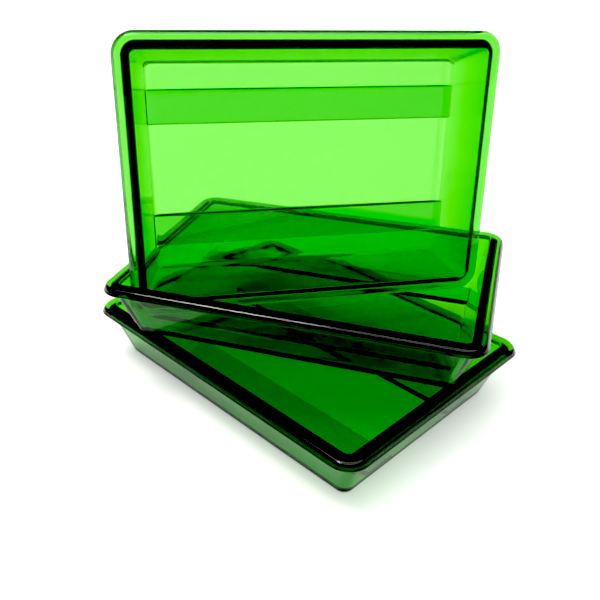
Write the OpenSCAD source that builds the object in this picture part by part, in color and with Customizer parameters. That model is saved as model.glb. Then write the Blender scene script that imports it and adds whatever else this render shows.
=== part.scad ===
// Set of three alike pressed glass trays: one on its base, one laid across its rim and
// turned, and one standing on a long edge inside the second, leaning back.
// Frame: millimetres, +Z up, origin at the centre of the bottom tray's base,
// +X along the bottom tray's long side.

/* [Tray] */
// Length over the rim
tray_l = 188; // [182:0.1:195]
// Width over the rim
tray_w = 135.6; // [132:0.1:142]
// Height from the base to the top of the rim
tray_h = 30; // [28:0.1:33]
// Corner radius of the rim's outer edge
rim_corner_r = 11; // [10:0.5:14]
// Length of the outside where the walls' lines reach the base
base_l = 162; // [161:0.1:166]
// Width of the outside where the walls' lines reach the base
base_w = 109.6; // [109:0.1:113]
// Corner radius of the outside at the base
base_corner_r = 5; // [4.5:0.5:8]
// Length inside where the walls' lines reach the floor
floor_l = 157.8; // [150:0.1:158]
// Width inside where the walls' lines reach the floor
floor_w = 103.8; // [98:0.1:105]
// Corner radius inside at the floor
floor_corner_r = 3; // [2:0.5:4]
// Thickness of the floor between the ribs
floor_t = 3.3; // [3:0.1:4]

/* [Rim] */
// How far the rim stands out from the wall
rim_out = 4.3; // [3.8:0.1:4.6]
// Height of the rim's side, from its underside to its top
rim_side = 3.8; // [3.8:0.1:4.6]
// Width of the rim's top and the wall together
rim_w = 8.2; // [7.6:0.1:8.4]
// Rounding of the rim's outer edge at the top
rim_round = 2.6; // [1:0.1:2.6]
// Rounding of the rim's outer edge at the underside
rim_low_round = 0.8; // [0.4:0.1:1.1]
// How much the rim's side leans in from its lower edge to its top
rim_draft = 0.5; // [0:0.1:0.8]
// Rounding of the rim's inner edge
rim_inner_round = 1; // [0.5:0.1:2]
// Hollow curve under the rim, where it stands out from the wall
cove = 0.8; // [0.4:0.1:2]

/* [Ribs] */
// Distance from the middle of the floor to a rib's inner edge
rib_in = 23.5; // [20:0.1:26]
// Distance from the middle of the floor to a rib's outer edge
rib_out = 39.7; // [34:0.1:42]
// Height of the ribs above the floor
rib_h = 2.2; // [1:0.1:2.5]
// Width of the slope on a rib's inner edge
rib_slope = 0.5; // [0.2:0.1:1.5]

/* [Stacking] */
// Middle tray's place along X
middle_x = -6.1; // [-8:0.1:0]
// Middle tray's place along Y
middle_y = 18.2; // [12:0.1:20]
// Middle tray's turn from the bottom tray
middle_turn = 27.6; // [25:0.1:30]
// Gap between the middle tray's base and the bottom tray's rim
rest_gap = 0.3; // [0.3:0.1:1]
// Upright tray's place along the middle tray's length
upright_x = -16.1; // [-16.2:0.1:-16]
// Upright tray's place along the middle tray's width
upright_y = 21.5; // [21.4:0.1:21.6]
// Height of the middle of the upright tray's base above the middle tray's underside
upright_z = 73.5; // [73.5:0.1:75]
// Upright tray's turn from the middle tray
upright_turn = 30; // [29.9:0.1:30.1]
// Upright tray's lean back from vertical
upright_lean = 6.1; // [6:0.1:6.2]
// Upright tray's roll about the way that it faces
upright_roll = -1.1; // [-1.2:0.1:-1]

/* [Hidden] */
glass = [0.12, 0.62, 0.12, 0.6];

// Straight steps in each corner of an outline
corner_steps = 8;
// Angle between the steps of the rim's roundings, and of the two at the floor
rim_step = 22.5;
floor_step = 30;
// Rounding of the outside's lower edge
base_round = 2;
// The underside's border rises by this much over this width
base_relief = 0.4;
relief_w = 6;
// Rounding between the inner wall and the floor
floor_round = 1.8;
// Slope of a rib's outer edge
rib_draft = 0.2;
// How far each end of a rib runs into the wall
rib_bite = 1.5;

wall_h = tray_h - rim_side;
inner_h = tray_h - rim_inner_round - floor_t;

function mix(a, b, t) = a + (b - a) * t;

// Outline of a rounded rectangle at height z, given its half length, half width and radius
function ring(hx, hy, r, z) = [
    for (q = [0:3], k = [0:corner_steps])
        let (a = 90 * (q + k / corner_steps),
             sx = (q == 0 || q == 3) ? 1 : -1,
             sy = q < 2 ? 1 : -1)
            [sx * (hx - r) + r * cos(a), sy * (hy - r) + r * sin(a), z]
];

// A ring set in from the rim's outer edge
function rim_ring(inset, z) =
    ring(tray_l / 2 - inset, tray_w / 2 - inset, rim_corner_r - inset, z);

// Ring on the outer wall, t = 0 at the base and 1 under the rim, set in by inset at height z
function outer_ring(t, inset, z) = ring(
    mix(base_l / 2, tray_l / 2 - rim_out, t) - inset,
    mix(base_w / 2, tray_w / 2 - rim_out, t) - inset,
    mix(base_corner_r, rim_corner_r - rim_out, t) - inset,
    z);

// Ring on the inner wall, t = 0 at the floor and 1 where the rim's rounding starts
function inner_ring(t, inset, z) = ring(
    mix(floor_l / 2, tray_l / 2 - rim_w, t) - inset,
    mix(floor_w / 2, tray_w / 2 - rim_w, t) - inset,
    mix(floor_corner_r, rim_corner_r - rim_w, t) - inset,
    z);

// Rings from the underside, up the outside, over the rim and down to the floor
function shell_rings() =
    let (low_t = (base_relief + base_round) / wall_h,
         foot_t = floor_round / inner_h)
    concat(
        [ring(base_l / 2 - base_round - relief_w, base_w / 2 - base_round - relief_w,
              base_corner_r / 2, 0)],
        [for (a = [90:-floor_step:0])
            outer_ring(low_t, base_round * (1 - cos(a)),
                       base_relief + base_round * (1 - sin(a)))],
        [for (a = [0:rim_step:90])
            outer_ring(1 - cove * (1 - sin(a)) / wall_h, -cove * (1 - cos(a)),
                       wall_h - cove * (1 - sin(a)))],
        [for (a = [90:-rim_step:0])
            rim_ring(rim_low_round * (1 - cos(a)), wall_h + rim_low_round * (1 - sin(a)))],
        [for (a = [0:rim_step:90])
            rim_ring(rim_draft + rim_round * (1 - cos(a)), tray_h - rim_round * (1 - sin(a)))],
        [for (a = [90:-rim_step:0])
            rim_ring(rim_w - rim_inner_round * (1 - cos(a)),
                     tray_h - rim_inner_round * (1 - sin(a)))],
        [for (a = [0:floor_step:90])
            inner_ring(foot_t, floor_round * (1 - cos(a)),
                       floor_t + floor_round * (1 - sin(a)))]
    );

// Closed solid through a list of rings that all have the same number of points
module loft(rings) {
    n = len(rings[0]);
    m = len(rings);
    polyhedron(
        points = [for (r = rings, p = r) p],
        faces = concat(
            [[for (k = [0:n - 1]) k]],
            [for (i = [0:m - 2], k = [0:n - 1])
                [i * n + k, (i + 1) * n + k, (i + 1) * n + (k + 1) % n, i * n + (k + 1) % n]],
            [[for (k = [n - 1:-1:0]) (m - 1) * n + k]]
        ),
        convexity = 6
    );
}

// One of the two ribs, running the whole length of the floor
module rib() {
    sunk = floor_t / 2;
    top = floor_t + rib_h;
    rotate([90, 0, 90])
        linear_extrude(height = floor_l + 2 * rib_bite, center = true)
            polygon([
                [rib_in - rib_slope, sunk],
                [rib_in - rib_slope, floor_t],
                [rib_in, top],
                [rib_out - rib_draft, top],
                [rib_out, floor_t],
                [rib_out, sunk]
            ]);
}

// One tray, standing on its base at the origin
module tray() {
    loft(shell_rings());
    rib();
    mirror([0, 1, 0]) rib();
}

module bottom_tray() {
    color(glass) tray();
}

// Places its children in the middle tray's frame
module on_middle() {
    translate([middle_x, middle_y, tray_h + rest_gap])
        rotate([0, 0, middle_turn])
            children();
}

module middle_tray() {
    color(glass) on_middle() tray();
}

module upright_tray() {
    color(glass)
        on_middle()
            translate([upright_x, upright_y, upright_z])
                rotate([0, 0, upright_turn])
                    rotate([90 - upright_lean, 0, 0])
                        rotate([0, 0, upright_roll])
                            tray();
}

bottom_tray();
middle_tray();
upright_tray();
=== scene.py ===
"""Set of three alike pressed glass trays: one on its base, one laid across it, one on edge."""
import math

import bmesh
import bpy
from mathutils import Matrix, Vector, noise


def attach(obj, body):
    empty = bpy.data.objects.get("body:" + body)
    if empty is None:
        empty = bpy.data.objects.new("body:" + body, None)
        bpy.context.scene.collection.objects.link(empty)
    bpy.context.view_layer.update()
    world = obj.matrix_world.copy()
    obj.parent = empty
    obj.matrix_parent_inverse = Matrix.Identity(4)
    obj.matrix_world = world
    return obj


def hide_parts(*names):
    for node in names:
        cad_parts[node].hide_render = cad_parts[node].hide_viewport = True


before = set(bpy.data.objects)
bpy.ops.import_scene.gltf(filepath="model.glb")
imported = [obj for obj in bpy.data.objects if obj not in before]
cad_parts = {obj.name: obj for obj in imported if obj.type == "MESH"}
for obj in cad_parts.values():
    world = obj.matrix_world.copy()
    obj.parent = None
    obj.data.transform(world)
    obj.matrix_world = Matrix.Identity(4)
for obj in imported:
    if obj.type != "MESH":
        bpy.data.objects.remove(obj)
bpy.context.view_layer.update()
scene = bpy.context.scene
MM = 0.001
BLACK = 0.07                    # light below this level is shown as black

# ---------------------------------------------------------------- sizes, in millimetres
TRAY_L, TRAY_W, TRAY_H = 188.0, 135.6, 30.0
RIM_CORNER_R, RIM_OUT, RIM_SIDE, RIM_W, RIM_DRAFT = 11.0, 4.3, 3.8, 8.2, 0.5
RIM_ROUND, RIM_LOW_ROUND, RIM_INNER_ROUND, COVE = 2.6, 0.8, 1.0, 0.8
BASE_L, BASE_W, BASE_CORNER_R, BASE_ROUND = 162.0, 109.6, 5.0, 2.0
BASE_RELIEF, RELIEF_W = 0.4, 3.0
UNDER_OUTER_R, UNDER_INNER_R = 3.0, 2.5    # corners of the underside's border
BASE_TOP = 0.7                  # below this height nothing is moved further down
FLOOR_L, FLOOR_W, FLOOR_CORNER_R, FLOOR_T, FLOOR_ROUND = 157.8, 103.8, 3.0, 3.3, 1.8
WALL_H = TRAY_H - RIM_SIDE
INNER_H = TRAY_H - RIM_INNER_ROUND - FLOOR_T

# Ribs: their height, and the middle and softness of their inner and outer edges
RIB_H = 2.2
RIB_EDGES = ((23.15, 0.17), (39.61, 0.2))
EDGE_SPREAD = 1.6               # how far the fine lines reach on each side of an edge
EDGE_LINES = 8
LINE_STEP = 4.0
FOOT_FILLET = 1.0               # size of the fillet where the ribs run into the end walls
WALL_FOOT = 6.0                 # how high above the floor the walls can meet a rib
RIB_LEAST = 0.02                # lower than this, a rib isn't there


def lines_across():
    """Distances from the middle of the floor of the grid's lines along the tray."""
    fine = [middle + math.copysign(EDGE_SPREAD * (abs(k) / EDGE_LINES) ** 1.5, k)
            for middle, _soft in RIB_EDGES for k in range(-EDGE_LINES, EDGE_LINES + 1)]
    coarse = [LINE_STEP * k for k in range(1, 12)]
    coarse = [y for y in coarse if all(abs(y - middle) > EDGE_SPREAD for middle, _soft in RIB_EDGES)]
    return sorted(fine + coarse)


Y_LINES = [-y for y in reversed(lines_across())] + [0.0] + lines_across()
X_LINES = [LINE_STEP * k for k in range(-18, 19)]
CORNER = 7                      # steps in each half of a rounded corner
NX = len(X_LINES) + 2 * (CORNER + 1)
NY = len(Y_LINES) + 2 * (CORNER + 1)
WALL_STEPS, INNER_STEPS = 12, 17
COVE_STEPS, LOW_STEPS, ROUND_STEPS, INNER_ROUND_STEPS = 8, 6, 8, 10
INNER_RINGS = INNER_STEPS + ROUND_STEPS    # rings on the inner wall and its foot

# Pressed glass is never quite true: how far its faces roll, and over what distance. All are
# drawn in a little further than that, which keeps the trays inside the part's own box.
ROLL, ROLL_LENGTH, DRAWN_IN = 0.02, 60.0, 0.06
SEED_STEP = Vector((37.0, 11.0, 0.0))


def mix(a, b, t):
    return a + (b - a) * t


def arc(cx, cy, r, start, stop):
    """CORNER + 1 points on an arc, angles in degrees."""
    out = []
    for k in range(CORNER + 1):
        a = math.radians(mix(start, stop, k / CORNER))
        out.append((cx + r * math.cos(a), cy + r * math.sin(a)))
    return out


def outline(hx, hy, r):
    """The four sides of a rounded rectangle, as (bottom, right, top, left) lists of points.

    Bottom and top run along +X, left and right along +Y, and each starts and ends in the
    middle of a corner, so that opposite sides share their lines."""
    bottom = (arc(r - hx, r - hy, r, 225, 270) + [(x, -hy) for x in X_LINES]
              + arc(hx - r, r - hy, r, 270, 315))
    right = (arc(hx - r, r - hy, r, -45, 0) + [(hx, y) for y in Y_LINES]
             + arc(hx - r, hy - r, r, 0, 45))
    top = [(x, -y) for x, y in bottom]
    left = [(-x, y) for x, y in right]
    return bottom, right, top, left


def loop_points(hx, hy, r):
    """Once round the outline, anticlockwise, from the middle of the lower left corner."""
    bottom, right, top, left = outline(hx, hy, r)
    return bottom[:-1] + right[:-1] + top[::-1][:-1] + left[::-1][:-1]


def rib_height(y):
    """Height of the ribs above the floor at a distance y from its middle."""
    (inner, inner_soft), (outer, outer_soft) = RIB_EDGES
    rise = math.tanh((abs(y) - inner) / inner_soft)
    fall = math.tanh((abs(y) - outer) / outer_soft)
    return RIB_H / 2 * (rise - fall)


def smooth_max(a, b, r):
    """The larger of two heights, with a fillet of about r where they cross."""
    h = max(r - abs(a - b), 0.0)
    return max(a, b) + h * h / (4 * r)


def quarter(steps, start, stop, first=0):
    """(1 - cos, 1 - sin) at each step of a quarter turn, for a rounding of radius 1."""
    for k in range(first, steps + 1):
        a = math.radians(mix(start, stop, k / steps))
        yield 1 - math.cos(a), 1 - math.sin(a)


def profile():
    """(half length, half width, corner radius, height) of each ring, from the underside's
    border, up the outside, over the rim and down to the floor."""
    rings = []

    def rim(inset, z):
        rings.append((TRAY_L / 2 - inset, TRAY_W / 2 - inset, RIM_CORNER_R - inset, z))

    def outer(t, inset, z):
        rings.append((mix(BASE_L / 2, TRAY_L / 2 - RIM_OUT, t) - inset,
                      mix(BASE_W / 2, TRAY_W / 2 - RIM_OUT, t) - inset,
                      mix(BASE_CORNER_R, RIM_CORNER_R - RIM_OUT, t) - inset, z))

    def inner(t, inset, z):
        rings.append((mix(FLOOR_L / 2, TRAY_L / 2 - RIM_W, t) - inset,
                      mix(FLOOR_W / 2, TRAY_W / 2 - RIM_W, t) - inset,
                      mix(FLOOR_CORNER_R, RIM_CORNER_R - RIM_W, t) - inset, z))

    low = (BASE_RELIEF + BASE_ROUND) / WALL_H
    high = 1 - COVE / WALL_H
    foot = FLOOR_ROUND / INNER_H
    # the underside's border rises a little towards the edge
    for s in (1.0, 0.8, 0.6, 0.4, 0.2, 0.06):
        inset = BASE_ROUND + RELIEF_W * s
        rings.append((BASE_L / 2 - inset, BASE_W / 2 - inset, mix(UNDER_OUTER_R, UNDER_INNER_R, s),
                      BASE_RELIEF * (1 - s) ** 2))
    for across, along in quarter(ROUND_STEPS, 90, 0):
        outer(low, BASE_ROUND * across, BASE_RELIEF + BASE_ROUND * along)
    for k in range(1, WALL_STEPS + 1):
        t = mix(low, high, k / WALL_STEPS)
        outer(t, 0.0, t * WALL_H)
    # hollow curve between the wall and the underside of the rim
    for across, along in quarter(COVE_STEPS, 0, 90, first=1):
        z = WALL_H - COVE * along
        outer(z / WALL_H, -COVE * across, z)
    for across, along in quarter(LOW_STEPS, 90, 0):
        rim(RIM_LOW_ROUND * across, WALL_H + RIM_LOW_ROUND * along)
    for across, along in quarter(ROUND_STEPS, 0, 90):
        rim(RIM_DRAFT + RIM_ROUND * across, TRAY_H - RIM_ROUND * along)
    rim(mix(RIM_DRAFT + RIM_ROUND, RIM_W - RIM_INNER_ROUND, 0.5), TRAY_H)
    for across, along in quarter(INNER_ROUND_STEPS, 90, 0):
        rim(RIM_W - RIM_INNER_ROUND * across, TRAY_H - RIM_INNER_ROUND * along)
    for k in range(1, INNER_STEPS):
        t = mix(1.0, foot, k / INNER_STEPS)
        inner(t, 0.0, FLOOR_T + t * INNER_H)
    for across, along in quarter(ROUND_STEPS, 0, 90):
        inner(foot, FLOOR_ROUND * across, FLOOR_T + FLOOR_ROUND * along)
    return rings


def grid_points(hx, hy, r):
    """Points of the grid that fills an outline, [i][j], its border the outline itself."""
    bottom, _right, top, left = outline(hx, hy, r)

    def fade(k, n):
        k = min(k, n - 1 - k)
        return max(0.0, 1 - k / CORNER)

    rows = []
    for i in range(NX):
        row = []
        for j in range(NY):
            side_x = left[j][0] - left[0][0]
            side_y = bottom[i][1] - bottom[0][1]
            sx = 1 if i < NX / 2 else -1
            sy = 1 if j < NY / 2 else -1
            row.append((bottom[i][0] + sx * fade(i, NX) * side_x,
                        left[j][1] + sy * fade(j, NY) * side_y))
        rows.append(row)
    return rows


def tray_mesh(name, seed):
    """One tray as a closed mesh, its base at the origin, in millimetres."""
    bm = bmesh.new()
    rings = profile()
    n = 2 * (NX + NY) - 4
    last_rim = len(rings) - INNER_RINGS - 1
    rows = []
    for index, (hx, hy, r, z) in enumerate(rings):
        row = []
        for x, y in loop_points(hx, hy, r):
            h = z
            rib = rib_height(y)
            if index > last_rim and z < FLOOR_T + WALL_FOOT and rib > RIB_LEAST:
                h = smooth_max(z, FLOOR_T + rib, FOOT_FILLET)
            row.append(bm.verts.new((x, y, h)))
        rows.append(row)
    for a, b in zip(rows, rows[1:]):
        for k in range(n):
            bm.faces.new((a[k], a[(k + 1) % n], b[(k + 1) % n], b[k]))

    def fill(border, ring, height, flip):
        hx, hy, r, _z = ring
        points = grid_points(hx, hy, r)
        grid = [[None] * NY for _ in range(NX)]
        around = ([(i, 0) for i in range(NX - 1)]
                  + [(NX - 1, j) for j in range(NY - 1)]
                  + [(i, NY - 1) for i in range(NX - 1, 0, -1)]
                  + [(0, j) for j in range(NY - 1, 0, -1)])
        for (i, j), vertex in zip(around, border):
            grid[i][j] = vertex
        for i in range(1, NX - 1):
            for j in range(1, NY - 1):
                x, y = points[i][j]
                grid[i][j] = bm.verts.new((x, y, height(y)))
        for i in range(NX - 1):
            for j in range(NY - 1):
                quad = (grid[i][j], grid[i + 1][j], grid[i + 1][j + 1], grid[i][j + 1])
                bm.faces.new(quad[::-1] if flip else quad)

    fill(rows[-1], rings[-1], lambda y: FLOOR_T + rib_height(y), False)
    fill(rows[0], rings[0], lambda _y: 0.0, True)

    bm.normal_update()
    moves = []
    for v in bm.verts:
        roll = noise.noise((v.co + seed * SEED_STEP) / ROLL_LENGTH) * ROLL
        moves.append(v.normal * (roll - DRAWN_IN))
    for v, move in zip(bm.verts, moves):
        if v.co.z < BASE_TOP:
            move = Vector((move.x, move.y, max(move.z, 0.0)))
        v.co += move
    mesh = bpy.data.meshes.new(name)
    bm.to_mesh(mesh)
    bm.free()
    for polygon in mesh.polygons:
        polygon.use_smooth = True
    return mesh


# ---------------------------------------------------------------- glass
def glass_material():
    mat = bpy.data.materials.new("green_glass")
    mat.use_nodes = True
    nt = mat.node_tree
    nt.nodes.clear()
    out = nt.nodes.new("ShaderNodeOutputMaterial")
    bsdf = nt.nodes.new("ShaderNodeBsdfPrincipled")
    bsdf.inputs["Base Color"].default_value = (1.0, 1.0, 1.0, 1.0)
    bsdf.inputs["IOR"].default_value = 1.52
    bsdf.inputs["Transmission Weight"].default_value = 1.0
    # the skin left by the press: faint chill ripples, and a little haze where it was handled
    coords = nt.nodes.new("ShaderNodeTexCoord")
    ripple = nt.nodes.new("ShaderNodeTexNoise")
    ripple.inputs["Scale"].default_value = 70.0
    ripple.inputs["Detail"].default_value = 2.0
    bump = nt.nodes.new("ShaderNodeBump")
    bump.inputs["Strength"].default_value = 0.02
    bump.inputs["Distance"].default_value = 0.0002
    haze = nt.nodes.new("ShaderNodeTexNoise")
    haze.inputs["Scale"].default_value = 28.0
    haze.inputs["Detail"].default_value = 6.0
    haze_ramp = nt.nodes.new("ShaderNodeValToRGB")
    haze_ramp.color_ramp.elements[0].position = 0.55
    haze_ramp.color_ramp.elements[0].color = (0.0, 0.0, 0.0, 1.0)
    haze_ramp.color_ramp.elements[1].position = 0.85
    haze_ramp.color_ramp.elements[1].color = (0.05, 0.05, 0.05, 1.0)
    nt.links.new(coords.outputs["Object"], ripple.inputs["Vector"])
    nt.links.new(coords.outputs["Object"], haze.inputs["Vector"])
    nt.links.new(ripple.outputs["Fac"], bump.inputs["Height"])
    nt.links.new(bump.outputs["Normal"], bsdf.inputs["Normal"])
    nt.links.new(haze.outputs["Fac"], haze_ramp.inputs["Fac"])
    nt.links.new(haze_ramp.outputs["Color"], bsdf.inputs["Roughness"])
    absorb = nt.nodes.new("ShaderNodeVolumeAbsorption")
    # what is left of each colour, and how strongly the glass takes up the rest, per metre
    absorb.inputs["Color"].default_value = (0.28, 0.816, 0.01, 1.0)
    absorb.inputs["Density"].default_value = 760.0
    nt.links.new(bsdf.outputs["BSDF"], out.inputs["Surface"])
    nt.links.new(absorb.outputs["Volume"], out.inputs["Volume"])
    return mat


GLASS = glass_material()

# ---------------------------------------------------------------- the three trays
REST_GAP = 0.3
MIDDLE_X, MIDDLE_Y, MIDDLE_TURN = -6.1, 18.2, 27.6
UPRIGHT_AT = (-16.1, 21.5, 73.5)
UPRIGHT_TURN, UPRIGHT_LEAN, UPRIGHT_ROLL = 30.0, 6.1, -1.1


def turn(axis, degrees):
    return Matrix.Rotation(math.radians(degrees), 4, axis)


middle_at = Matrix.Translation((MIDDLE_X, MIDDLE_Y, TRAY_H + REST_GAP)) @ turn("Z", MIDDLE_TURN)
upright_at = (middle_at @ Matrix.Translation(UPRIGHT_AT) @ turn("Z", UPRIGHT_TURN)
              @ turn("X", 90 - UPRIGHT_LEAN) @ turn("Z", UPRIGHT_ROLL))
PLACES = {"bottom": Matrix.Identity(4), "middle": middle_at, "upright": upright_at}

for seed, (body, place) in enumerate(PLACES.items()):
    mesh = tray_mesh(body + "_glass", seed)
    mesh.transform(Matrix.Scale(MM, 4) @ place)
    piece = bpy.data.objects.new(body + "_glass", mesh)
    scene.collection.objects.link(piece)
    mesh.materials.append(GLASS)
    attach(piece, body)
    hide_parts(body + "_tray")

# ---------------------------------------------------------------- floor, light and camera
FLOOR_RADIUS = 9.0
FLOOR_Z = -0.0001               # just under the object's underside
# Brightness of the surroundings, from straight across to straight up: a pale horizon, a darker
# zone that the rims mirror, and a lit ceiling that gives them their thin highlights
SKY = ((0.0, 0.4), (0.14, 0.4), (0.3, 0.15), (0.8, 0.15), (0.88, 1.0), (1.0, 1.0))
SKY_STRENGTH = 2.6
LAMP_TOWARDS = (0.25, 0.3, -1.0)
CAMERA_AT = (0.2235, -0.2323, 0.2252)
YAW, PITCH, ROLL_ANGLE = -0.7701, 0.512, 0.019


def paper_material():
    mat = bpy.data.materials.new("white_paper")
    mat.use_nodes = True
    bsdf = mat.node_tree.nodes["Principled BSDF"]
    bsdf.inputs["Base Color"].default_value = (0.9, 0.9, 0.9, 1.0)
    bsdf.inputs["Roughness"].default_value = 0.8
    bsdf.inputs["Specular IOR Level"].default_value = 0.1
    bsdf.inputs["Emission Color"].default_value = (1.0, 1.0, 1.0, 1.0)
    bsdf.inputs["Emission Strength"].default_value = 0.37
    return mat


def make_floor():
    mesh = bpy.data.meshes.new("floor")
    bm = bmesh.new()
    bmesh.ops.create_circle(bm, cap_ends=True, segments=96, radius=FLOOR_RADIUS)
    bm.to_mesh(mesh)
    bm.free()
    mesh.materials.append(paper_material())
    floor = bpy.data.objects.new("floor", mesh)
    floor.location.z = FLOOR_Z
    scene.collection.objects.link(floor)


def make_world():
    world = bpy.data.worlds.new("studio")
    scene.world = world
    world.use_nodes = True
    nt = world.node_tree
    nt.nodes.clear()
    out = nt.nodes.new("ShaderNodeOutputWorld")
    background = nt.nodes.new("ShaderNodeBackground")
    coords = nt.nodes.new("ShaderNodeTexCoord")
    split = nt.nodes.new("ShaderNodeSeparateXYZ")
    levels = nt.nodes.new("ShaderNodeValToRGB")
    nt.links.new(coords.outputs["Generated"], split.inputs[0])
    nt.links.new(split.outputs["Z"], levels.inputs["Fac"])
    nt.links.new(levels.outputs["Color"], background.inputs["Color"])
    nt.links.new(background.outputs["Background"], out.inputs["Surface"])
    background.inputs["Strength"].default_value = SKY_STRENGTH
    ramp = levels.color_ramp
    for position, _level in SKY[1:-1]:
        ramp.elements.new(position)
    for element, (_position, level) in zip(ramp.elements, SKY):
        element.color = (level, level, level, 1.0)


def make_lamp():
    lamp = bpy.data.lights.new("soft_box", "SUN")
    lamp.energy = 0.9
    lamp.angle = math.radians(16.0)
    lamp.color = (1.0, 0.96, 0.9)
    lamp_object = bpy.data.objects.new("soft_box", lamp)
    lamp_object.rotation_euler = Vector(LAMP_TOWARDS).to_track_quat("-Z", "Y").to_euler()
    scene.collection.objects.link(lamp_object)


def make_camera():
    camera = bpy.data.cameras.new("camera")
    camera.sensor_width = 36.0
    camera.lens = 42.4
    camera.shift_x = 0.0012
    camera.clip_start = 0.01
    camera.clip_end = 50.0
    ahead = Vector((math.cos(PITCH) * math.sin(YAW), math.cos(PITCH) * math.cos(YAW),
                    -math.sin(PITCH)))
    side = Vector((math.cos(YAW), -math.sin(YAW), 0.0))
    above = side.cross(ahead)
    right = side * math.cos(ROLL_ANGLE) + above * math.sin(ROLL_ANGLE)
    up = above * math.cos(ROLL_ANGLE) - side * math.sin(ROLL_ANGLE)
    pose = Matrix((right, up, -ahead)).transposed().to_4x4()
    pose.translation = Vector(CAMERA_AT)
    camera_object = bpy.data.objects.new("camera", camera)
    scene.collection.objects.link(camera_object)
    camera_object.matrix_world = pose
    scene.camera = camera_object


make_floor()
make_world()
make_lamp()
make_camera()

scene.view_settings.view_transform = "Standard"
scene.view_settings.look = "None"
scene.view_settings.use_curve_mapping = True
scene.view_settings.curve_mapping.black_level = (BLACK, BLACK, BLACK)
scene.view_settings.curve_mapping.update()
scene.cycles.max_bounces = 40
scene.cycles.transmission_bounces = 40
scene.cycles.glossy_bounces = 16
scene.cycles.diffuse_bounces = 4
scene.cycles.use_denoising = True

bpy.context.view_layer.update()
